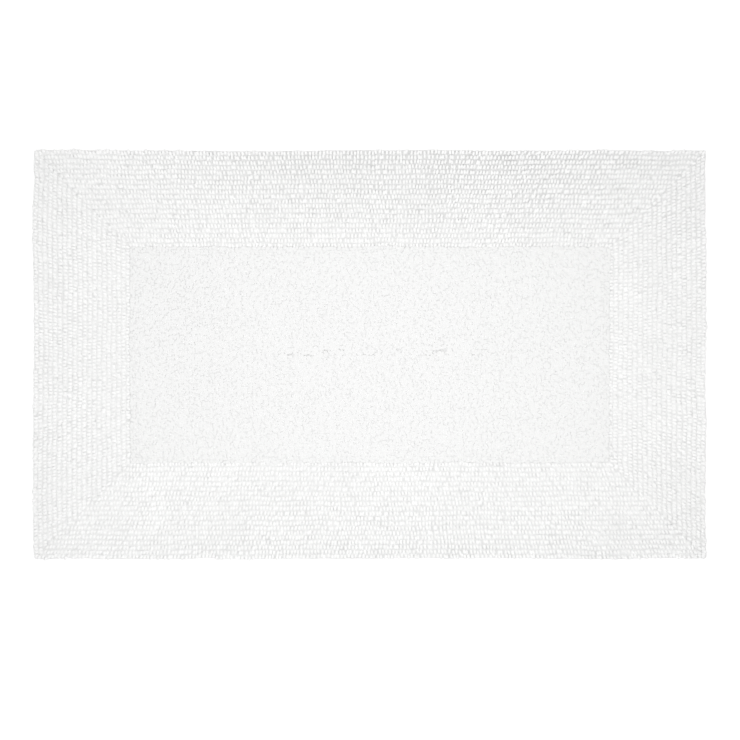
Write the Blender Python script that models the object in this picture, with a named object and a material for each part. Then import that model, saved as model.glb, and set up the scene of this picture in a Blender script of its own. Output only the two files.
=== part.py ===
"""Tufted cotton bath mat, lying flat on its non-slip backing.

Concentric rows of looped yarn make the border and a sheared cut pile fills the centre.
Both stand on a hemmed ground cloth, which a sprayed latex coat covers underneath.
Metres, +X along the mat, +Z up, origin under the mat's centre at floor level.
"""

import math

import bmesh
import bpy
from mathutils import Matrix

# Plan of the tufting: concentric rows around a short seam at the middle
MAT_LENGTH = 0.864
ROW_PITCH = 0.00626
LOOP_ROWS = 20
CUT_ROWS = 22
MAT_WIDTH = 2 * (LOOP_ROWS + CUT_ROWS) * ROW_PITCH
CORNER_RADIUS = 0.005

# Space left between two pieces that touch on the real mat
CLEARANCE = 0.0003

# Layers, from the floor up
LATEX_THICKNESS = 0.0012
CLOTH_THICKNESS = 0.0007
LOOP_HEIGHT = 0.0105
CUT_HEIGHT = 0.0118

# Hem: the cloth's edge is turned under once and sewn down
EDGE_OVERHANG = 0.0020
HEM_WIDTH = 0.0140
STITCH_INSET = 0.0100
THREAD_DIAMETER = 0.0004

# Shape of the pile's top
LOOP_ROUNDING = 0.38 * (ROW_PITCH - CLEARANCE)
CUT_ROUNDING = 0.0030
SEAM_DEPTH = 0.0018

CLOTH_LOW = LATEX_THICKNESS + CLEARANCE
HEM_LOW = CLOTH_LOW - CLOTH_THICKNESS
PILE_LOW = CLOTH_LOW + CLOTH_THICKNESS + CLEARANCE
CLOTH_LENGTH = MAT_LENGTH - 2 * EDGE_OVERHANG
CLOTH_WIDTH = MAT_WIDTH - 2 * EDGE_OVERHANG
LATEX_LENGTH = CLOTH_LENGTH - 2 * (HEM_WIDTH + CLEARANCE)
LATEX_WIDTH = CLOTH_WIDTH - 2 * (HEM_WIDTH + CLEARANCE)
FIELD_LENGTH = MAT_LENGTH - 2 * LOOP_ROWS * ROW_PITCH
FIELD_WIDTH = MAT_WIDTH - 2 * LOOP_ROWS * ROW_PITCH


def clear_scene():
    for item in list(bpy.data.objects):
        bpy.data.objects.remove(item, do_unlink=True)


def new_collection(name):
    group = bpy.data.collections.new(name)
    bpy.context.scene.collection.children.link(group)
    return group


def make_material(name, colour, roughness):
    material = bpy.data.materials.new(name)
    material.use_nodes = True
    shader = material.node_tree.nodes["Principled BSDF"]
    shader.inputs["Base Color"].default_value = (*colour, 1.0)
    shader.inputs["Roughness"].default_value = roughness
    shader.inputs["Metallic"].default_value = 0.0
    return material


def add_object(name, data, group, material=None):
    item = bpy.data.objects.new(name, data)
    if material:
        data.materials.append(material)
    group.objects.link(item)
    return item


def finish_mesh(work, name):
    """Turn a working mesh into mesh data with its faces outward."""
    bmesh.ops.recalc_face_normals(work, faces=work.faces[:])
    mesh = bpy.data.meshes.new(name)
    work.to_mesh(mesh)
    work.free()
    return mesh


def flat_rectangle(length, width):
    work = bmesh.new()
    bmesh.ops.create_grid(work, x_segments=1, y_segments=1, size=0.5)
    bmesh.ops.transform(work, matrix=Matrix.Diagonal((length, width, 1.0, 1.0)), verts=work.verts[:])
    return work


def extrude_up(work, height):
    grown = bmesh.ops.extrude_face_region(work, geom=work.faces[:])
    raised = [item for item in grown["geom"] if isinstance(item, bmesh.types.BMVert)]
    bmesh.ops.translate(work, vec=(0.0, 0.0, height), verts=raised)


def is_upright(edge):
    first, second = edge.verts
    return abs(first.co.z - second.co.z) > 1e-6


def upright_edges(work, length):
    """The upright edges at the outer corners of a shape this long."""
    return [edge for edge in work.edges
            if is_upright(edge) and abs(abs(edge.verts[0].co.x) - length / 2) < 1e-6]


def rim_edges(work, height):
    """The edges around the top face where it meets an upright side."""
    rims = []
    for edge in work.edges:
        on_top = all(abs(vert.co.z - height) < 1e-6 for vert in edge.verts)
        beside_wall = any(abs(face.normal.z) < 0.5 for face in edge.link_faces)
        if on_top and beside_wall:
            rims.append(edge)
    return rims


def round_edges(work, edges, radius, segments):
    bmesh.ops.bevel(work, geom=edges, offset=radius, segments=segments, profile=0.5,
                    affect="EDGES", clamp_overlap=True)
    work.normal_update()


def pad_mesh(name, length, width, height, top_radius):
    """A flat pad with rounded corners and, where a radius is given, a rounded top rim."""
    work = flat_rectangle(length, width)
    extrude_up(work, height)
    bmesh.ops.recalc_face_normals(work, faces=work.faces[:])
    round_edges(work, upright_edges(work, length), CORNER_RADIUS, 3)
    if top_radius > 0:
        round_edges(work, rim_edges(work, height), top_radius, 3)
    return finish_mesh(work, name)


def row_mesh(name, length, width):
    """One row of loops: a rectangular ring of pile with mitred corners and a rounded top."""
    work = flat_rectangle(length, width)
    middle = work.faces[:]
    bmesh.ops.inset_region(work, faces=middle, thickness=ROW_PITCH - CLEARANCE,
                           use_boundary=True, use_even_offset=True)
    bmesh.ops.delete(work, geom=middle, context="FACES_ONLY")
    extrude_up(work, LOOP_HEIGHT)
    bmesh.ops.recalc_face_normals(work, faces=work.faces[:])
    round_edges(work, upright_edges(work, length), CORNER_RADIUS, 2)
    round_edges(work, rim_edges(work, LOOP_HEIGHT), LOOP_ROUNDING, 2)
    return finish_mesh(work, name)


def add_cutter(item, cutter):
    cutter.hide_render = True
    cutter.display_type = "WIRE"
    cut = item.modifiers.new("Cut", "BOOLEAN")
    cut.operation = "DIFFERENCE"
    cut.solver = "EXACT"
    cut.object = cutter


def box_mesh(name, length, width, height):
    work = bmesh.new()
    bmesh.ops.create_cube(work, size=1.0)
    size = Matrix.Diagonal((length, width, height, 1.0))
    bmesh.ops.transform(work, matrix=size, verts=work.verts[:])
    return finish_mesh(work, name)


def build_latex(group):
    latex = make_material("latex", (0.86, 0.85, 0.80), 0.62)
    mesh = pad_mesh("latex_backing", LATEX_LENGTH, LATEX_WIDTH, LATEX_THICKNESS, 0.0)
    add_object("latex_backing", mesh, group, latex)


def build_cloth(group, cutters):
    """Ground cloth whose turned hem stands down around the latex coat."""
    canvas = make_material("canvas", (0.84, 0.83, 0.79), 0.92)
    height = 2 * CLOTH_THICKNESS
    mesh = pad_mesh("ground_cloth", CLOTH_LENGTH, CLOTH_WIDTH, height, 0.0)
    cloth = add_object("ground_cloth", mesh, group, canvas)
    cloth.location.z = HEM_LOW
    inside_length = CLOTH_LENGTH - 2 * HEM_WIDTH
    inside_width = CLOTH_WIDTH - 2 * HEM_WIDTH
    pocket_mesh = box_mesh("hem_pocket", inside_length, inside_width, 2 * CLOTH_THICKNESS)
    pocket = add_object("hem_pocket", pocket_mesh, cutters)
    pocket.location.z = HEM_LOW
    add_cutter(cloth, pocket)


def corner_points(length, width, radius, steps):
    """Points around a rectangle with rounded corners."""
    points = []
    for corner in range(4):
        side_x = (1, -1, -1, 1)[corner]
        side_y = (1, 1, -1, -1)[corner]
        for step in range(steps + 1):
            angle = math.pi / 2 * (corner + step / steps)
            x = side_x * (length / 2 - radius) + radius * math.cos(angle)
            y = side_y * (width / 2 - radius) + radius * math.sin(angle)
            points.append((x, y))
    return points


def build_stitching(group):
    """Sewing thread that runs once around the hem, under the cloth."""
    thread = make_material("thread", (0.88, 0.87, 0.84), 0.80)
    curve = bpy.data.curves.new("hem_stitching", "CURVE")
    curve.dimensions = "3D"
    curve.bevel_depth = THREAD_DIAMETER / 2
    curve.bevel_resolution = 0
    line = curve.splines.new("POLY")
    length = CLOTH_LENGTH - 2 * STITCH_INSET
    width = CLOTH_WIDTH - 2 * STITCH_INSET
    points = corner_points(length, width, CORNER_RADIUS, 3)
    line.points.add(len(points) - 1)
    for point, (x, y) in zip(line.points, points):
        point.co = (x, y, 0.0, 1.0)
    line.use_cyclic_u = True
    stitching = add_object("hem_stitching", curve, group, thread)
    stitching.location.z = HEM_LOW - CLEARANCE - THREAD_DIAMETER / 2


def build_loop_rows(group):
    """Rows of looped yarn, numbered from the mat's edge inward."""
    loop_yarn = make_material("loop_yarn", (0.90, 0.90, 0.89), 0.95)
    for row in range(LOOP_ROWS):
        name = f"loop_row_{row + 1:02d}"
        length = MAT_LENGTH - 2 * row * ROW_PITCH
        width = MAT_WIDTH - 2 * row * ROW_PITCH
        ring = add_object(name, row_mesh(name, length, width), group, loop_yarn)
        ring.location.z = PILE_LOW


def build_cut_pile(group, cutters):
    """Sheared centre, with a shallow groove where the innermost rows meet."""
    cut_yarn = make_material("cut_yarn", (0.93, 0.93, 0.92), 0.97)
    mesh = pad_mesh("cut_pile", FIELD_LENGTH, FIELD_WIDTH, CUT_HEIGHT, CUT_ROUNDING)
    field = add_object("cut_pile", mesh, group, cut_yarn)
    field.location.z = PILE_LOW
    side = SEAM_DEPTH * math.sqrt(2)
    groove_mesh = box_mesh("seam_groove", FIELD_LENGTH - FIELD_WIDTH, side, side)
    groove = add_object("seam_groove", groove_mesh, cutters)
    groove.location.z = PILE_LOW + CUT_HEIGHT
    groove.rotation_euler.x = math.pi / 4
    add_cutter(field, groove)


def build():
    clear_scene()
    mat = new_collection("bath_mat")
    cutters = new_collection("cutters")
    build_latex(mat)
    build_cloth(mat, cutters)
    build_stitching(mat)
    build_loop_rows(mat)
    build_cut_pile(mat, cutters)


build()
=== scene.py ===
"""Cotton bath mat: yarn loops in mitred rows around a sheared cut pile, on a hemmed, latex-backed cloth.

Each loop and each cut tuft is real geometry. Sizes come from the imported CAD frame, in metres, +Z up.
In the names below a jitter is the spread of a random difference between neighbours, and a wave is the
depth of a smooth random field over the mat.
"""

import math

import bpy
import numpy as np
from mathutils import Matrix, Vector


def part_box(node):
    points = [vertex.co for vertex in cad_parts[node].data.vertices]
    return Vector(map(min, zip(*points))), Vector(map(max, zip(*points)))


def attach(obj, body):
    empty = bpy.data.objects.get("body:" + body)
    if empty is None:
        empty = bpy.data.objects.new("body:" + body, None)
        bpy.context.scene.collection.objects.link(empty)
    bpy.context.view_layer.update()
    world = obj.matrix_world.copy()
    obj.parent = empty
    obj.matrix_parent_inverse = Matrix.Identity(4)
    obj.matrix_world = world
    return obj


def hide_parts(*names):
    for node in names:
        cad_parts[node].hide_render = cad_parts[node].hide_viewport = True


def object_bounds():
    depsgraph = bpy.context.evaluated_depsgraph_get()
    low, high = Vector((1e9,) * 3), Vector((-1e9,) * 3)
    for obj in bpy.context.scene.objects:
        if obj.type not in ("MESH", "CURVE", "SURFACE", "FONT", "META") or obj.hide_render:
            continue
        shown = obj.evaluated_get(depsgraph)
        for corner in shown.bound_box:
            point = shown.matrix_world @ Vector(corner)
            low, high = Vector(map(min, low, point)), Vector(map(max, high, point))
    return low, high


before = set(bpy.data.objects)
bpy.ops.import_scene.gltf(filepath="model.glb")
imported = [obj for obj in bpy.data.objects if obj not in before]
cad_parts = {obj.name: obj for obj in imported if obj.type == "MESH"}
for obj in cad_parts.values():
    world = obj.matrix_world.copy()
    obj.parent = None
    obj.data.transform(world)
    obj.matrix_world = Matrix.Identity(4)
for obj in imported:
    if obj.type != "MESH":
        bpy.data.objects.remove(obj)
cad_box = [list(corner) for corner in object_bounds()]

# Places and sizes that the CAD frame gives
LOOP_NODES = sorted(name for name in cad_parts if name.startswith("loop_row_"))
MAT_LOW, MAT_HIGH = (np.array(corner) for corner in cad_box)
ROW_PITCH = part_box(LOOP_NODES[0])[1][0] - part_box(LOOP_NODES[1])[1][0]
FIELD_LOW, FIELD_HIGH = (np.array(corner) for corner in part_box("cut_pile"))
CLOTH_LOW, CLOTH_HIGH = (np.array(corner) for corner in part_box("ground_cloth"))
LATEX_LOW, LATEX_HIGH = (np.array(corner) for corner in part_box("latex_backing"))
THREAD_LOW, THREAD_HIGH = (np.array(corner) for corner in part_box("hem_stitching"))
LOOP_BASE, LOOP_TOP = (corner[2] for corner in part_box(LOOP_NODES[0]))
CLOTH_THICKNESS = (CLOTH_HIGH[2] - CLOTH_LOW[2]) / 2
HEM_WIDTH = CLOTH_HIGH[0] - LATEX_HIGH[0]

# First seed of the looped rows and of the cut rows
LOOP_SEED = 1000
CUT_SEED = 2000
# A leaning yarn moves sideways as this power of its height
LEAN_CURVE = 1.5

# Looped yarn
LOOP_SPACING = 0.00448
SPACING_RANGE = (0.97, 1.03)
YARN_RADIUS = 0.00172
LOOP_SPREAD = 0.0016
LOOP_FAN = 0.60
LOOP_SIDES = 8
MITRE_RADIUS = 0.0015
MITRE_SPREAD = 0.5
# Where the yarn of one loop runs: share of the spread to each side, and share of the height
LOOP_ARCH = np.array([(-0.30, 0.0), (-0.82, 0.40), (-1.0, 0.76), (-0.76, 0.975), (0.0, 1.0),
                      (0.76, 0.975), (1.0, 0.76), (0.82, 0.40), (0.30, 0.0)])
LOOP_FULLNESS = np.array([0.70, 0.85, 1.0, 1.04, 1.06, 1.04, 1.0, 0.85, 0.70])
LOOP_ALONG_JITTER = 0.00042
LOOP_OUTWARD_JITTER = 0.00035
LOOP_TURN_WAVE = 0.10
LOOP_TURN_JITTER = 0.10
LOOP_HEIGHT_WAVE = 0.03
LOOP_HEIGHT_JITTER = 0.022
LOOP_RADIUS_JITTER = 0.045
LOOP_SPREAD_JITTER = 0.08
LOOP_LEAN_WAVE_ALONG = 0.0009
LOOP_LEAN_WAVE_OUTWARD = 0.0005
LOOP_LEAN_JITTER = 0.0003
# Two plies twist round each other: how oval the section is, and its turn from one section to the next
PLY_OVALNESS = 0.09
PLY_TWIST = 0.9
LUMP_JITTER = 0.035
# The outermost row stands in a little, its loops splay, and the band under them slopes
OUTER_ROW_INSET = 0.0004
OUTER_LEAN_JITTER = 0.0007
OUTER_CORE_TRIM = 0.0024

# Slack pile has thinner yarn with wider gaps: most at the far side, less at the near side and the ends
SLACKNESS = 0.05
NEAR_SIDE_SLACK = 0.5
SLACK_RISE = 1.4
SLACK_START = 0.4
SLACK_PEAK = 1.1
SLACK_FALL = 1.2
SLACK_CENTRE = 0.15

# Packed yarn under the loops and the cut ends: its depth below their tops, and the shape of the band.
# Under the loops the depth is a share of LOOP_RELIEF that falls from the outermost row inward.
LOOP_RELIEF = 0.0018
LOOP_RELIEF_OUTSIDE = 1.08
LOOP_RELIEF_FALL = 0.12
ROW_RELIEF = 0.0015
CUT_RELIEF = 0.0018
CORE_SINK = 0.0014
CORE_EDGE_SINK = 1.3
CORE_FLAT_SHARE = 0.4
CORE_TOP_TRIM = 0.5
CORE_CORNER = 0.0008
LOOP_CORE_JITTER = 0.0005
CUT_CORE_JITTER = 0.00015
LOOP_CORE_STEPS = 100
CUT_CORE_STEPS = 40

# Cut yarn: every loop of a cut row leaves two ends, one in each of two lines
CUT_LINES = (0.25, 0.75)
TUFT_SPACING = 0.0034
TUFT_RADIUS = 0.00250
TUFT_SIDES = 6
# One cut end from its foot to its crown: share of the radius, and share of the height
TUFT_PROFILE = np.array([(0.40, 0.0), (0.62, 0.50), (1.0, 0.90), (0.62, 0.985)])
RAGGED_ABOVE = 0.5
CUT_CORNER = 0.002
CUT_HEIGHT_SHARE = 0.97
CUT_HEIGHT_WAVE = 0.006
CUT_HEIGHT_JITTER = 0.015
CUT_ALONG_JITTER = 0.0007
CUT_OUTWARD_JITTER = 0.0004
CUT_LEAN_WAVE = 0.0012
CUT_LEAN_JITTER = 0.0006
CUT_RADIUS_JITTER = 0.10
FRAY_JITTER = 0.13
RAGGED_JITTER = 0.00022
# The outermost ends are less even and spill over the last looped row
EDGE_HEIGHT_RANGE = 0.0004
EDGE_SPILL = 0.0012

# Where the cut pile parts: width and depth of the gap, how it fades and how it breaks off
PART_WIDTH = 0.0018
PART_SINK = 0.0014
PART_FADE = 0.0035
PART_WAVER = 1.6
PART_HALF_LENGTH = 0.09
PART_STRENGTH_SPREAD = 2.2
PART_STRENGTH_MIDDLE = 0.7

# Cloth, coat and thread
CORNER_STEPS = 4
SHEET_STEPS = 60
SHEET_CORNER = 0.005
CLOTH_CENTRE_INSET = 0.10
FOLD_SHARE = 0.25
FOLD_STEPS = 6
PRESSED_SHARE = 0.03
COAT_STEPS = 4
COAT_RIDGE = 0.25
COAT_CORNER = 0.004
COAT_CORNER_SHARE = 0.8
COAT_FOOT_INSET = 0.0004
COAT_FOOT_SHARE = 0.1
COAT_TOP_INSET = 0.0003
COAT_CENTRE_GAP = 0.003
COAT_CENTRE_CORNER = 0.002
STITCH_LENGTH = 0.0034
# How far the thread has dipped into the hem at each point of a stitch, as a share of the dip
STITCH_SHAPE = np.array([0.0, 0.15, 1.0, 0.15])
THREAD_LIFT = 0.0003
THREAD_DIP = 0.0005

# Depths below the top of the pile between which painted shade darkens the yarn's colour from its tip
# colour to its root colour
LOOP_PAINTED_SHADE_DEPTH = 0.0034
CUT_PAINTED_SHADE_DEPTH = 0.0045
CUT_UNSHADED_DEPTH = 0.0005

# Bake maps, in parts of the map or of one shape's square in it
CORE_STRIP = 0.06
CORE_STRIP_MARGIN = 0.01
CORE_STRIP_FILL = 0.04
WALL_MARGIN = 0.05
WALL_FILL = np.array([0.72, 0.9])
CAP_RADIUS = 0.07
CAP_PLACES = ((0.88, 0.25), (0.88, 0.75))
TUFT_DISC_RADIUS = 0.46
FOOT_RADIUS = 0.05
FOOT_PLACE = 0.06

# View and light
FRAME_WIDTH = 0.9492
VIEW_CENTRE = (0.0004, -0.0197)
LENS = 100.0
SENSOR = 36.0
CLIP_END = 50.0
LIGHT_PLACE = (0.0, -0.05, 1.55)
LIGHT_SIZE = 0.9
LIGHT_POWER = 22.1
ROOM_BRIGHTNESS = 0.33
FLOOR_REACH = 6.0
FLOOR_GAP = 0.0002
FLOOR_GLOW = 0.25


# ---------------------------------------------------------------- random fields and paths

def noise_field(seed, cell):
    """A smooth random field over the mat, from -1 to 1, that changes over about a cell's length."""
    rng = np.random.default_rng(seed)
    low = MAT_LOW[:2] - 2 * cell
    count = np.ceil((MAT_HIGH[:2] + 2 * cell - low) / cell).astype(int) + 2
    values = rng.uniform(-1.0, 1.0, count)

    def field(points):
        place = (points[:, :2] - low) / cell
        corner = np.floor(place).astype(int)
        share = place - corner
        share = share * share * (3 - 2 * share)
        i, j = corner[:, 0], corner[:, 1]
        near = values[i, j] * (1 - share[:, 0]) + values[i + 1, j] * share[:, 0]
        far = values[i, j + 1] * (1 - share[:, 0]) + values[i + 1, j + 1] * share[:, 0]
        return near * (1 - share[:, 1]) + far * share[:, 1]

    return field


# Two fields each way and how far they move the rows: slow waviness, and a finer unevenness
DRIFTS = [(noise_field(11, 0.045), noise_field(12, 0.045), 0.0009),
          (noise_field(16, 0.014), noise_field(17, 0.014), 0.0006)]
LEAN_ALONG, LEAN_ACROSS = noise_field(13, 0.090), noise_field(14, 0.060)
HEIGHT_FIELD = noise_field(15, 0.050)
PART_LINE, PART_STRENGTH = noise_field(18, 0.014), noise_field(19, 0.011)


def slack(place):
    """How slack the looped pile is: 1 near the middle of the far side, falling to 0 at mid-width."""
    share_x, share_y = place[:, 0] / MAT_HIGH[0], place[:, 1] / MAT_HIGH[1]
    side = np.where(share_y > 0, 1.0, NEAR_SIDE_SLACK)
    at_edge = np.clip(SLACK_RISE * np.abs(share_y) - SLACK_START, 0, 1)
    at_middle = np.clip(SLACK_PEAK - SLACK_FALL * (share_x - SLACK_CENTRE) ** 2, 0, 1)
    return side * at_edge * at_middle


def drift(points):
    """Moves points sideways by the mat's waviness, so that neighbouring pieces stay side by side."""
    flat = points[:, :2].copy()
    for drift_x, drift_y, depth in DRIFTS:
        points[:, 0] += depth * drift_x(flat)
        points[:, 1] += depth * drift_y(flat)


def parting(place):
    """Sideways push of the cut pile where it parts along a broken, wavering line near the middle."""
    middle = np.column_stack([place[:, 0], np.zeros(len(place))])
    away = place[:, 1] - ROW_PITCH * np.round(PART_WAVER * PART_LINE(middle))
    broken = np.clip(PART_STRENGTH_SPREAD * PART_STRENGTH(middle) + PART_STRENGTH_MIDDLE, 0, 1)
    strength = broken * np.clip(2 - np.abs(place[:, 0]) / PART_HALF_LENGTH, 0, 1)
    return np.sign(away) * np.exp(-np.abs(away) / PART_FADE) * strength


def around_rectangle(half_x, half_y, radius, spacing, phase):
    """Evenly spaced places on a rounded rectangle, with the direction along it and outward at each.

    The last result is 0 along the sides and rises to 1 at the middle of each corner.
    """
    radius = min(radius, half_x, half_y)
    straight_x, straight_y = 2 * (half_x - radius), 2 * (half_y - radius)
    arc = math.pi / 2 * radius
    lengths = np.array([straight_x, arc, straight_y, arc] * 2)
    ends = np.cumsum(lengths)
    count = int(round(ends[-1] / spacing))
    travel = (np.arange(count) + phase) * ends[-1] / count % ends[-1]
    stretch = np.minimum(np.searchsorted(ends, travel, side="right"), len(lengths) - 1)
    inside = travel - (ends - lengths)[stretch]
    quarter = stretch // 2
    on_arc = stretch % 2 == 1
    turn = np.where(on_arc, inside / radius, 0.0)
    # The first stretch runs along the lower side towards +X, and each corner turns left
    heading = quarter * math.pi / 2 + turn
    along = np.stack([np.cos(heading), np.sin(heading)], 1)
    outward = np.stack([np.sin(heading), -np.cos(heading)], 1)
    start_angle = quarter * math.pi / 2
    side_along = np.stack([np.cos(start_angle), np.sin(start_angle)], 1)
    side_out = np.stack([np.sin(start_angle), -np.cos(start_angle)], 1)
    half_length = np.where(quarter % 2 == 0, half_x, half_y) - radius
    half_depth = np.where(quarter % 2 == 0, half_y, half_x) - radius
    centre = side_along * half_length[:, None] + side_out * half_depth[:, None]
    on_side = side_out * (half_depth + radius)[:, None] + side_along * (inside - half_length)[:, None]
    on_corner = centre + outward * radius
    points = np.where(on_arc[:, None], on_corner, on_side)
    return points, along, outward, np.where(on_arc, np.sin(2 * turn), 0.0)


def rounded_ring(half_x, half_y, radius, per_side):
    """Points around a rounded rectangle, equally many on every ring so that rings can be joined."""
    points = []
    for quarter in range(4):
        heading = quarter * math.pi / 2
        along = np.array([math.cos(heading), math.sin(heading)])
        outward = np.array([math.sin(heading), -math.cos(heading)])
        half_length, half_depth = (half_x, half_y) if quarter % 2 == 0 else (half_y, half_x)
        for share in np.linspace(-1, 1, per_side, endpoint=False):
            points.append(outward * half_depth + along * (half_length - radius) * share)
        corner = outward * (half_depth - radius) + along * (half_length - radius)
        for step in range(CORNER_STEPS):
            turn = heading + math.pi / 2 * step / CORNER_STEPS
            points.append(corner + radius * np.array([math.sin(turn), -math.cos(turn)]))
    return np.array(points)


# ---------------------------------------------------------------- mesh building

def joined(parts):
    """Several (points, faces, bake map) shapes as one."""
    points, faces, bake_maps = zip(*parts)
    starts = np.cumsum([0] + [len(block) for block in points])
    faces = [block + start for blocks, start in zip(faces, starts) for block in blocks]
    return np.concatenate(points), faces, np.concatenate(bake_maps)


def new_mesh(name, points, faces, bake_map):
    """A smooth mesh.

    faces holds arrays of faces with equally many corners. bake_map has a place per corner, or is None.
    """
    mesh = bpy.data.meshes.new(name)
    corners = np.concatenate([block.ravel() for block in faces])
    sizes = np.concatenate([np.full(len(block), block.shape[1]) for block in faces])
    mesh.vertices.add(len(points))
    mesh.vertices.foreach_set("co", np.ascontiguousarray(points, dtype=np.float32).ravel())
    mesh.loops.add(len(corners))
    mesh.loops.foreach_set("vertex_index", corners.astype(np.int32))
    mesh.polygons.add(len(sizes))
    starts = np.concatenate([[0], np.cumsum(sizes)[:-1]])
    mesh.polygons.foreach_set("loop_start", starts.astype(np.int32))
    mesh.update(calc_edges=True)
    mesh.shade_smooth()
    if bake_map is not None:
        layer = mesh.uv_layers.new(name="OFBake")
        layer.data.foreach_set("uv", bake_map.astype(np.float32).ravel())
    return mesh


def add_piece(name, mesh, material, node):
    piece = bpy.data.objects.new(name, mesh)
    bpy.context.scene.collection.objects.link(piece)
    mesh.materials.append(material)
    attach(piece, "root")
    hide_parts(node)
    return piece


def wall_faces(starts, rings, sides):
    """Faces between neighbouring rings, for shapes whose points run ring by ring from each start."""
    start = starts[:, None, None]
    ring = np.arange(rings - 1)[None, :, None] * sides
    side = np.arange(sides)[None, None]
    beside = (side + 1) % sides
    walls = np.stack([start + ring + side, start + ring + beside,
                      start + ring + sides + beside, start + ring + sides + side], -1)
    return walls.reshape(-1, 4)


def wall_corners(bands, sides):
    """For every corner of the wall faces of one shape: the numbers of its ring and of its side."""
    band, side = np.arange(bands)[:, None], np.arange(sides)[None]
    corners = [(band, side), (band, side + 1), (band + 1, side + 1), (band + 1, side)]
    return np.stack([np.stack(np.broadcast_arrays(*corner), -1) for corner in corners], 2)


def cell_corners(count):
    """A square of the bake map for each of many shapes: the lower corners, and the squares' size."""
    across = math.ceil(math.sqrt(count))
    index = np.arange(count)
    size = (1.0 - CORE_STRIP) / across
    return np.stack([index % across, index // across], 1) * size, size


def circle(angle):
    return np.stack([np.cos(angle), np.sin(angle)], 1)


def core_band(half_x, half_y, low, edge, middle, trim, sink, jitter, per_side, rng):
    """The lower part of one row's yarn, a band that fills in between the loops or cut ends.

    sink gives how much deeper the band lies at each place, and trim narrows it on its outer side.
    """
    half = ROW_PITCH / 2
    flat_half = CORE_FLAT_SHARE * half
    # Inset, height, and share of the sink: the edges between two rows sink most
    section = [(trim - half, low, 0.0), (CORE_TOP_TRIM * trim - half, edge, CORE_EDGE_SINK),
               (-flat_half, middle, 1.0), (flat_half, middle, 1.0),
               (half, edge, CORE_EDGE_SINK), (half, low, 0.0)]
    layers = []
    for inset, height, share in section:
        flat = rounded_ring(half_x - inset, half_y - inset, CORE_CORNER, per_side)
        level = np.full(len(flat), height) - share * sink(flat)
        if share:
            level += rng.normal(0, jitter, len(flat))
        layers.append(np.column_stack([flat, level]))
    points = np.concatenate(layers)
    drift(points)
    count, sections = len(layers[0]), len(section)
    # The band is closed, so the ring above the last one is the first
    walls = wall_faces(np.zeros(1, int), sections + 1, count) % len(points)
    corners = wall_corners(sections, count).reshape(-1, 2)
    strip = (1 - CORE_STRIP) + CORE_STRIP_MARGIN + CORE_STRIP_FILL * corners[:, 0] / sections
    return points, (walls,), np.column_stack([corners[:, 1] / count, strip])


def loop_sink(flat):
    return CORE_SINK * slack(flat)


def cut_sink(flat):
    return PART_SINK * np.abs(parting(flat))


# ---------------------------------------------------------------- looped rows

def tube_faces(count, sections, sides):
    """Side faces and end caps of many tubes whose points run section by section."""
    starts = np.arange(count) * sections * sides
    first = starts[:, None] + np.arange(sides)[None, ::-1]
    last = starts[:, None] + (sections - 1) * sides + np.arange(sides)[None, :]
    return wall_faces(starts, sections, sides), first, last


def tube_bake_map(count, sections, sides):
    """Each tube's walls fill most of its own square, with its two caps in a strip beside them."""
    low, size = cell_corners(count)
    corners = wall_corners(sections - 1, sides)
    walls = WALL_MARGIN + WALL_FILL * corners / np.array([sections - 1, sides])
    disc = circle(2 * math.pi * np.arange(sides) / sides) * CAP_RADIUS
    caps = [disc[::-1] + CAP_PLACES[0], disc + CAP_PLACES[1]]
    placed = [low[:, None, None, None] + size * walls[None]]
    placed += [low[:, None] + size * cap[None] for cap in caps]
    return np.concatenate([block.reshape(-1, 2) for block in placed])


def loop_lines(place, across, lean, rise, spread):
    """Centre line of the yarn in every loop: an arch across the row that leans over towards its top."""
    reach = LOOP_ARCH[None, :, 0] * spread[:, None]
    share = LOOP_ARCH[None, :, 1] ** LEAN_CURVE
    flat = place[:, None] + across[:, None] * reach[:, :, None] + lean[:, None] * share[:, :, None]
    level = LOOP_BASE + LOOP_ARCH[None, :, 1] * rise[:, None]
    return np.concatenate([flat, level[:, :, None]], 2)


def yarn_tubes(line, sideways, radius, rng):
    """A tube along every centre line, with a slightly oval, lumpy section that turns along the yarn."""
    count, sections = line.shape[:2]
    tangent = np.gradient(line, axis=1)
    tangent /= np.linalg.norm(tangent, axis=2, keepdims=True)
    side = np.concatenate([sideways, np.zeros((count, 1))], 1)[:, None]
    side = side - tangent * (side * tangent).sum(2, keepdims=True)
    side /= np.linalg.norm(side, axis=2, keepdims=True)
    normal = np.cross(side, tangent)

    angle = 2 * math.pi * np.arange(LOOP_SIDES) / LOOP_SIDES
    first_turn = rng.uniform(0, math.pi, count)[:, None, None]
    turn = first_turn + PLY_TWIST * np.arange(sections)[None, :, None]
    oval = 1 + PLY_OVALNESS * np.cos(2 * (angle[None, None] - turn))
    lumps = 1 + rng.normal(0, LUMP_JITTER, (count, sections, LOOP_SIDES))
    thickness = radius[:, None, None] * LOOP_FULLNESS[None, :, None] * oval * lumps
    out = np.cos(angle)[:, None] * normal[:, :, None] + np.sin(angle)[:, None] * side[:, :, None]
    points = line[:, :, None] + out * thickness[..., None]
    faces = tube_faces(count, sections, LOOP_SIDES)
    return points.reshape(-1, 3), faces, tube_bake_map(count, sections, LOOP_SIDES)


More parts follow.
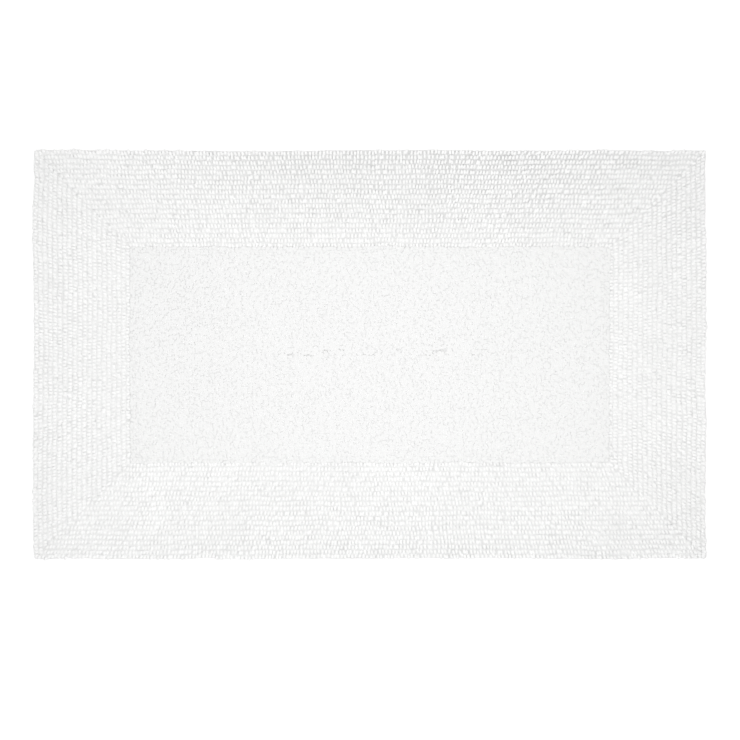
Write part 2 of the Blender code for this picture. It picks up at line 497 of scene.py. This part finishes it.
def loop_row_mesh(name, node, row):
    """One continuous row of yarn loops. Each loop stands across its row and leans a little."""
    rng = np.random.default_rng(LOOP_SEED + row)
    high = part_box(node)[1]
    half_x = high[0] - ROW_PITCH / 2
    half_y = high[1] - ROW_PITCH / 2
    spacing = LOOP_SPACING * rng.uniform(*SPACING_RANGE)
    phase = rng.uniform()
    place, along, outward, corner = around_rectangle(half_x, half_y, MITRE_RADIUS, spacing, phase)
    count = len(place)
    # The outermost row keeps its rounded corners, and the others reach into their mitres
    mitre = corner if row else 0.0 * corner
    place = place + outward * (MITRE_RADIUS * (math.sqrt(2) - 1) * mitre)[:, None]
    place = place + along * rng.normal(0, LOOP_ALONG_JITTER, count)[:, None]
    place = place + outward * rng.normal(0, LOOP_OUTWARD_JITTER, count)[:, None]
    if row == 0:
        place = place - outward * OUTER_ROW_INSET
    drift(place)

    lean_along, lean_across = LEAN_ALONG(place), LEAN_ACROSS(place)
    centred = (along * place).sum(1) / np.abs(along @ MAT_HIGH[:2])
    yaw = LOOP_FAN * centred + LOOP_TURN_WAVE * lean_along + rng.normal(0, LOOP_TURN_JITTER, count)
    across = outward * np.cos(yaw)[:, None] + along * np.sin(yaw)[:, None]
    sideways = along * np.cos(yaw)[:, None] - outward * np.sin(yaw)[:, None]
    uneven = 1 + LOOP_HEIGHT_WAVE * HEIGHT_FIELD(place) + rng.normal(0, LOOP_HEIGHT_JITTER, count)
    height = (LOOP_TOP - LOOP_BASE) * uneven
    radius = YARN_RADIUS * (1 - SLACKNESS * slack(place) + rng.normal(0, LOOP_RADIUS_JITTER, count))
    spread = LOOP_SPREAD * (1 + rng.normal(0, LOOP_SPREAD_JITTER, count))
    spread = spread * (1 + MITRE_SPREAD * mitre)
    lean_along = LOOP_LEAN_WAVE_ALONG * lean_along + rng.normal(0, LOOP_LEAN_JITTER, count)
    lean_across = LOOP_LEAN_WAVE_OUTWARD * lean_across + rng.normal(0, LOOP_LEAN_JITTER, count)
    lean = along * lean_along[:, None] + outward * lean_across[:, None]
    if row == 0:
        lean = lean + outward * rng.normal(0, OUTER_LEAN_JITTER, count)[:, None]
    line = loop_lines(place, across, lean, height - radius, spread)
    loops = yarn_tubes(line, sideways, radius, rng)

    edge = LOOP_TOP - ROW_RELIEF
    depth_share = LOOP_RELIEF_OUTSIDE - LOOP_RELIEF_FALL * row / len(LOOP_NODES)
    middle = LOOP_TOP - LOOP_RELIEF * depth_share
    trim = 0.0 if row else OUTER_CORE_TRIM
    core = core_band(half_x, half_y, LOOP_BASE, edge, middle, trim, loop_sink,
                     LOOP_CORE_JITTER, LOOP_CORE_STEPS, rng)
    return new_mesh(name, *joined([loops, core]))


# ---------------------------------------------------------------- cut pile

def tuft_bake_map(count, rings, sides):
    """Each tuft seen from above fills a disc in its own square, and its foot one in the corner."""
    low, size = cell_corners(count)
    angle = 2 * math.pi * np.arange(sides + 1) / sides
    reach = np.linspace(TUFT_DISC_RADIUS, 0.0, rings + 1)
    spot = 0.5 + circle(angle)[None] * reach[:, None, None]
    walls = np.stack([spot[:-2, :-1], spot[:-2, 1:], spot[1:-1, 1:], spot[1:-1, :-1]], 2)
    crown = np.stack([spot[-2, :-1], spot[-2, 1:], spot[-1, :-1]], 1)
    foot = (circle(angle[:-1]) * FOOT_RADIUS + FOOT_PLACE)[::-1]
    placed = [low[:, None, None, None] + size * walls[None]]
    placed += [low[:, None, None] + size * crown[None], low[:, None] + size * foot[None]]
    return np.concatenate([block.reshape(-1, 2) for block in placed])


def tuft_places(row, rng):
    """Both lines of cut ends that one row leaves, drifting out of line as a brushed pile does."""
    places = []
    for line in CUT_LINES:
        spill = EDGE_SPILL * (1 - line) if row == 0 else 0.0
        inset = (row + line) * ROW_PITCH - spill
        half_x, half_y = FIELD_HIGH[:2] - inset
        phase = rng.uniform()
        place, along, outward, _ = around_rectangle(half_x, half_y, CUT_CORNER, TUFT_SPACING, phase)
        place = place + along * rng.normal(0, CUT_ALONG_JITTER, len(place))[:, None]
        place = place + outward * rng.normal(0, CUT_OUTWARD_JITTER, len(place))[:, None]
        drift(place)
        places.append(place)
    return np.concatenate(places)


def tuft_points(place, height, rng):
    """Points of every tuft ring by ring, and last the middle of its crown."""
    count, rings, base = len(place), len(TUFT_PROFILE), FIELD_LOW[2]
    lean = rng.normal(0, CUT_LEAN_JITTER, (count, 2))
    lean[:, 0] += CUT_LEAN_WAVE * LEAN_ALONG(place)
    lean[:, 1] += CUT_LEAN_WAVE * LEAN_ACROSS(place)
    lean[:, 1] += PART_WIDTH * parting(place)

    angle = 2 * math.pi * np.arange(TUFT_SIDES) / TUFT_SIDES
    turn = rng.uniform(0, 2 * math.pi, count)[:, None, None] + angle[None, None]
    radius = TUFT_RADIUS * (1 + rng.normal(0, CUT_RADIUS_JITTER, count))
    fray = 1 + rng.normal(0, FRAY_JITTER, (count, rings, TUFT_SIDES))
    reach = radius[:, None, None] * TUFT_PROFILE[None, :, 0, None] * fray
    ragged = rng.normal(0, RAGGED_JITTER, (count, rings, TUFT_SIDES))
    ragged = ragged * (TUFT_PROFILE[:, 1] > RAGGED_ABOVE)[None, :, None]
    rise = height[:, None, None] * TUFT_PROFILE[None, :, 1, None] + ragged
    share = TUFT_PROFILE[None, :, 1, None] ** LEAN_CURVE
    x = place[:, 0, None, None] + reach * np.cos(turn) + lean[:, 0, None, None] * share
    y = place[:, 1, None, None] + reach * np.sin(turn) + lean[:, 1, None, None] * share
    sides = np.stack([x, y, base + rise], -1).reshape(count, -1, 3)
    crown = np.concatenate([place + lean, (base + height)[:, None]], 1)[:, None]
    return np.concatenate([sides, crown], 1).reshape(-1, 3)


def tuft_faces(count, rings, sides):
    """Walls, crown and foot of many tufts."""
    starts = np.arange(count) * (rings * sides + 1)
    side = np.arange(sides)[None]
    rim = starts[:, None] + (rings - 1) * sides
    top = np.broadcast_to(starts[:, None] + rings * sides, (count, sides))
    crown = np.stack([rim + side, rim + (side + 1) % sides, top], -1)
    foot = starts[:, None] + side[:, ::-1]
    return wall_faces(starts, rings, sides), crown.reshape(-1, 3), foot


def cut_row_mesh(name, row):
    """One row of cut yarn ends, each a small brush that widens to a frayed, slightly domed crown."""
    rng = np.random.default_rng(CUT_SEED + row)
    place = tuft_places(row, rng)
    count, rings = len(place), len(TUFT_PROFILE)
    uneven = CUT_HEIGHT_SHARE + CUT_HEIGHT_WAVE * HEIGHT_FIELD(place)
    uneven = uneven + rng.normal(0, CUT_HEIGHT_JITTER, count)
    height = (FIELD_HIGH[2] - FIELD_LOW[2]) * uneven
    if row == 0:
        height = height - rng.uniform(-EDGE_HEIGHT_RANGE, EDGE_HEIGHT_RANGE, count)
    points = tuft_points(place, height, rng)
    tufts = (points, tuft_faces(count, rings, TUFT_SIDES), tuft_bake_map(count, rings, TUFT_SIDES))
    half_x, half_y = FIELD_HIGH[:2] - (row + 0.5) * ROW_PITCH
    filled = FIELD_HIGH[2] - CUT_RELIEF
    core = core_band(half_x, half_y, FIELD_LOW[2], filled, filled, 0.0, cut_sink,
                     CUT_CORE_JITTER, CUT_CORE_STEPS, rng)
    return new_mesh(name, *joined([tufts, core]))


# ---------------------------------------------------------------- cloth, backing and thread

def lofted_mesh(name, half_x, half_y, rings):
    """A closed surface through rounded rectangles, each given by its inset, height and corner radius."""
    layers = []
    for inset, height, radius in rings:
        flat = rounded_ring(half_x - inset, half_y - inset, radius, SHEET_STEPS)
        layers.append(np.column_stack([flat, np.full(len(flat), height)]))
    points = np.concatenate(layers)
    count = len(layers[0])
    drift(points)
    walls = wall_faces(np.zeros(1, int), len(rings), count)
    first = np.arange(count)[None, ::-1]
    last = (len(rings) - 1) * count + np.arange(count)[None]
    return new_mesh(name, points, (walls, first, last), None)


def cloth_mesh():
    """Canvas with its edge folded under once and pressed flat."""
    t, low, high = CLOTH_THICKNESS, CLOTH_LOW[2], CLOTH_HIGH[2]
    fold = FOLD_SHARE * t
    pressed = PRESSED_SHARE * t
    # Inset and height: from the middle of the top over the fold, along the hem, and back to the middle
    section = [(CLOTH_CENTRE_INSET, high), (HEM_WIDTH, high), (t, high)]
    for step in range(FOLD_STEPS + 1):
        turn = math.pi / 2 - math.pi * step / FOLD_STEPS
        section.append((fold - fold * math.cos(turn), (low + high) / 2 + t * math.sin(turn)))
    section += [(t, low), (HEM_WIDTH - fold, low), (HEM_WIDTH, low + t / 2)]
    section += [(HEM_WIDTH - fold, low + t - pressed), (t, low + t - pressed)]
    section += [(t, low + t + pressed), (HEM_WIDTH, low + t + pressed)]
    section += [(CLOTH_CENTRE_INSET, high - t)]
    rings = [(inset, height, SHEET_CORNER) for inset, height in section[::-1]]
    half_x, half_y = CLOTH_HIGH[:2] - OUTER_ROW_INSET
    return lofted_mesh("canvas_ground_cloth", half_x, half_y, rings)


def latex_mesh():
    """Sprayed coat whose underside follows the rows of back stitches it covers."""
    low, high = LATEX_LOW[2], LATEX_HIGH[2]
    half_x, half_y = LATEX_HIGH[:2] - OUTER_ROW_INSET
    thickness = high - low
    ridge = COAT_RIDGE * thickness
    rings = []
    # From two steps beside the middle line outwards
    for step in range(int(half_y / ROW_PITCH * COAT_STEPS) - 2, 0, -1):
        inset = step * ROW_PITCH / COAT_STEPS
        wave = ridge * (0.5 - 0.5 * math.cos(2 * math.pi * step / COAT_STEPS))
        rings.append((inset, low + wave, min(COAT_CORNER, (half_y - inset) * COAT_CORNER_SHARE)))
    rings += [(COAT_FOOT_INSET, low + COAT_FOOT_SHARE * thickness, SHEET_CORNER)]
    rings += [(0.0, low + 0.5 * thickness, SHEET_CORNER), (COAT_TOP_INSET, high, SHEET_CORNER)]
    rings += [(half_y - COAT_CENTRE_GAP, high, COAT_CENTRE_CORNER)]
    return lofted_mesh("sprayed_latex_coat", half_x, half_y, rings)


def thread_piece(material):
    """Lockstitch thread that runs under the hem and dips into it between stitches."""
    half_x = (THREAD_HIGH[0] - THREAD_LOW[0]) / 2
    half_y = (THREAD_HIGH[1] - THREAD_LOW[1]) / 2
    radius = (THREAD_HIGH[2] - THREAD_LOW[2]) / 2
    per_stitch = len(STITCH_SHAPE)
    place = around_rectangle(half_x - radius, half_y - radius, SHEET_CORNER,
                             STITCH_LENGTH / per_stitch, 0.0)[0]
    place = place[: len(place) // per_stitch * per_stitch]
    drift(place)
    dip = STITCH_SHAPE[np.arange(len(place)) % per_stitch]
    height = (THREAD_LOW[2] + THREAD_HIGH[2]) / 2 + THREAD_LIFT + THREAD_DIP * dip
    curve = bpy.data.curves.new("hem_lockstitch", "CURVE")
    curve.dimensions = "3D"
    curve.bevel_depth = radius
    curve.bevel_resolution = 1
    line = curve.splines.new("POLY")
    line.points.add(len(place) - 1)
    points = np.column_stack([place, height, np.ones(len(place))])
    line.points.foreach_set("co", points.astype(np.float32).ravel())
    line.use_cyclic_u = True
    return add_piece("hem_lockstitch", curve, material, "hem_stitching")


# ---------------------------------------------------------------- materials

class Nodes:
    """Short names for adding and joining shader nodes."""

    def __init__(self, name):
        self.material = bpy.data.materials.new(name)
        self.material.use_nodes = True
        self.tree = self.material.node_tree
        self.shader = self.tree.nodes["Principled BSDF"]
        self.place = self.add("ShaderNodeTexCoord").outputs["Object"]

    def add(self, kind, **settings):
        node = self.tree.nodes.new(kind)
        for key, value in settings.items():
            setattr(node, key, value)
        return node

    def join(self, source, target):
        self.tree.links.new(source, target)

    def noise(self, scale, detail):
        node = self.add("ShaderNodeTexNoise")
        node.inputs["Scale"].default_value = scale
        node.inputs["Detail"].default_value = detail
        self.join(self.place, node.inputs["Vector"])
        return node.outputs["Fac"]

    def blend(self, factor, dark, light, start=0.3, end=0.7):
        ramp = self.add("ShaderNodeValToRGB")
        ramp.color_ramp.elements[0].position = start
        ramp.color_ramp.elements[0].color = (*dark, 1.0)
        ramp.color_ramp.elements[1].position = end
        ramp.color_ramp.elements[1].color = (*light, 1.0)
        self.join(factor, ramp.inputs["Fac"])
        return ramp.outputs["Color"]

    def bump(self, height, strength, distance, below=None):
        node = self.add("ShaderNodeBump")
        node.inputs["Strength"].default_value = strength
        node.inputs["Distance"].default_value = distance
        self.join(height, node.inputs["Height"])
        if below is not None:
            self.join(below, node.inputs["Normal"])
        return node.outputs["Normal"]


def cotton(name, tip, root, full_shade_height, unshaded_height, fibre_scale, depth):
    """White cotton yarn whose colour is darkened by painted shade from its tip down to its root, with
    fine fibre relief and a soft sheen.
    """
    nodes = Nodes(name)
    height = nodes.add("ShaderNodeSeparateXYZ")
    nodes.join(nodes.place, height.inputs["Vector"])
    share = nodes.add("ShaderNodeMapRange")
    share.inputs["From Min"].default_value = full_shade_height
    share.inputs["From Max"].default_value = unshaded_height
    nodes.join(height.outputs["Z"], share.inputs["Value"])
    # Painted shade: root is the colour of the shade painted deep in the pile, and tip the colour at the
    # top
    colour = nodes.blend(share.outputs["Result"], dark=root, light=tip, start=0.0, end=1.0)
    nodes.join(colour, nodes.shader.inputs["Base Color"])
    fibres = nodes.noise(scale=fibre_scale, detail=4.0)
    coarse = nodes.bump(fibres, strength=0.6, distance=depth)
    fuzz = nodes.noise(scale=fibre_scale * 4, detail=2.0)
    fine = nodes.bump(fuzz, strength=0.4, distance=depth / 3, below=coarse)
    nodes.join(fine, nodes.shader.inputs["Normal"])
    nodes.shader.inputs["Roughness"].default_value = 0.95
    nodes.shader.inputs["Diffuse Roughness"].default_value = 1.0
    nodes.shader.inputs["Specular IOR Level"].default_value = 0.15
    nodes.shader.inputs["Sheen Weight"].default_value = 0.15
    nodes.shader.inputs["Sheen Roughness"].default_value = 0.6
    return nodes.material


def canvas():
    """Plain-woven cotton canvas: two crossing sets of threads."""
    nodes = Nodes("cotton_canvas")
    patches = nodes.noise(scale=60.0, detail=3.0)
    colour = nodes.blend(patches, dark=(0.70, 0.69, 0.65), light=(0.78, 0.77, 0.73))
    nodes.join(colour, nodes.shader.inputs["Base Color"])
    relief = None
    for direction in ("X", "Y"):
        wave = nodes.add("ShaderNodeTexWave", bands_direction=direction)
        wave.inputs["Scale"].default_value = 300.0
        wave.inputs["Distortion"].default_value = 0.6
        nodes.join(nodes.place, wave.inputs["Vector"])
        relief = nodes.bump(wave.outputs["Fac"], strength=0.5, distance=0.0003, below=relief)
    nodes.join(relief, nodes.shader.inputs["Normal"])
    nodes.shader.inputs["Roughness"].default_value = 0.92
    nodes.shader.inputs["Specular IOR Level"].default_value = 0.2
    return nodes.material


def latex():
    """Dried latex spray: pebbled, slightly shiny and a little yellow."""
    nodes = Nodes("latex_spray")
    patches = nodes.noise(scale=90.0, detail=4.0)
    colour = nodes.blend(patches, dark=(0.70, 0.68, 0.60), light=(0.80, 0.78, 0.70))
    nodes.join(colour, nodes.shader.inputs["Base Color"])
    pebbles = nodes.noise(scale=420.0, detail=3.0)
    relief = nodes.bump(pebbles, strength=0.7, distance=0.0006)
    nodes.join(relief, nodes.shader.inputs["Normal"])
    nodes.shader.inputs["Roughness"].default_value = 0.55
    return nodes.material


def floor_paint():
    """White floor that glows a little, so that the mat's own shadow stays faint."""
    nodes = Nodes("studio_floor")
    nodes.shader.inputs["Base Color"].default_value = (1.0, 1.0, 1.0, 1.0)
    nodes.shader.inputs["Roughness"].default_value = 0.9
    nodes.shader.inputs["Specular IOR Level"].default_value = 0.0
    nodes.shader.inputs["Emission Strength"].default_value = FLOOR_GLOW
    return nodes.material


# ---------------------------------------------------------------- the mat and its setting

def build_mat():
    # The looped yarn's tip colour is lighter than the cut yarn's, though both are one cotton: painted
    # highlight where the loop tops catch the light.
    # The root colours of both yarns are painted shade deep in the pile.
    loop_yarn = cotton("looped_cotton_yarn", tip=(0.895, 0.895, 0.893), root=(0.715, 0.715, 0.713),
                       full_shade_height=LOOP_TOP - LOOP_PAINTED_SHADE_DEPTH, unshaded_height=LOOP_TOP,
                       fibre_scale=900.0, depth=0.0005)
    cut_yarn = cotton("cut_cotton_yarn", tip=(0.835, 0.835, 0.833), root=(0.71, 0.71, 0.708),
                      full_shade_height=FIELD_HIGH[2] - CUT_PAINTED_SHADE_DEPTH,
                      unshaded_height=FIELD_HIGH[2] - CUT_UNSHADED_DEPTH,
                      fibre_scale=1400.0, depth=0.0006)
    thread = cotton("sewing_thread", tip=(0.77, 0.76, 0.73), root=(0.77, 0.76, 0.73),
                    full_shade_height=THREAD_LOW[2], unshaded_height=THREAD_HIGH[2],
                    fibre_scale=2500.0, depth=0.0001)
    backing = add_piece("sprayed_latex_coat", latex_mesh(), latex(), "latex_backing")
    cloth = add_piece("canvas_ground_cloth", cloth_mesh(), canvas(), "ground_cloth")
    pile = [thread_piece(thread)]
    for row, node in enumerate(LOOP_NODES):
        name = f"looped_yarn_row_{row + 1:02d}"
        mesh = loop_row_mesh(name, node, row)
        pile.append(add_piece(name, mesh, loop_yarn, node))
    for row in range(int(round(FIELD_HIGH[1] / ROW_PITCH))):
        name = f"cut_yarn_row_{row + 1:02d}"
        mesh = cut_row_mesh(name, row)
        pile.append(add_piece(name, mesh, cut_yarn, "cut_pile"))


def build_floor():
    mesh = bpy.data.meshes.new("studio_floor")
    reach = FLOOR_REACH
    corners = [(-reach, -reach, 0.0), (reach, -reach, 0.0), (reach, reach, 0.0), (-reach, reach, 0.0)]
    mesh.from_pydata(corners, [], [(0, 1, 2, 3)])
    mesh.materials.append(floor_paint())
    floor = bpy.data.objects.new("studio_floor", mesh)
    floor.location.z = MAT_LOW[2] - FLOOR_GAP
    bpy.context.scene.collection.objects.link(floor)


def build_light():
    """An evenly white room, and one softbox overhead that points at the origin."""
    world = bpy.data.worlds.new("white_room")
    world.use_nodes = True
    background = world.node_tree.nodes["Background"]
    background.inputs["Color"].default_value = (1.0, 1.0, 1.0, 1.0)
    background.inputs["Strength"].default_value = ROOM_BRIGHTNESS
    bpy.context.scene.world = world
    data = bpy.data.lights.new("overhead_light", "AREA")
    data.shape = "SQUARE"
    data.size = LIGHT_SIZE
    data.energy = LIGHT_POWER
    light = bpy.data.objects.new("overhead_light", data)
    light.location = LIGHT_PLACE
    light.rotation_mode = "QUATERNION"
    light.rotation_quaternion = (-light.location).to_track_quat("-Z", "Y")
    bpy.context.scene.collection.objects.link(light)


def build_camera():
    """Looks straight down, with FRAME_WIDTH across the picture at the height of the loops."""
    data = bpy.data.cameras.new("camera")
    data.lens = LENS
    data.sensor_width = SENSOR
    data.clip_end = CLIP_END
    camera = bpy.data.objects.new("camera", data)
    distance = FRAME_WIDTH * LENS / SENSOR
    camera.location = (VIEW_CENTRE[0], VIEW_CENTRE[1], LOOP_TOP + distance)
    bpy.context.scene.collection.objects.link(camera)
    bpy.context.scene.camera = camera


def set_tone():
    view = bpy.context.scene.view_settings
    view.view_transform = "Standard"
    view.look = "None"
    view.exposure = 0.0


build_mat()
build_floor()
build_light()
build_camera()
set_tone()
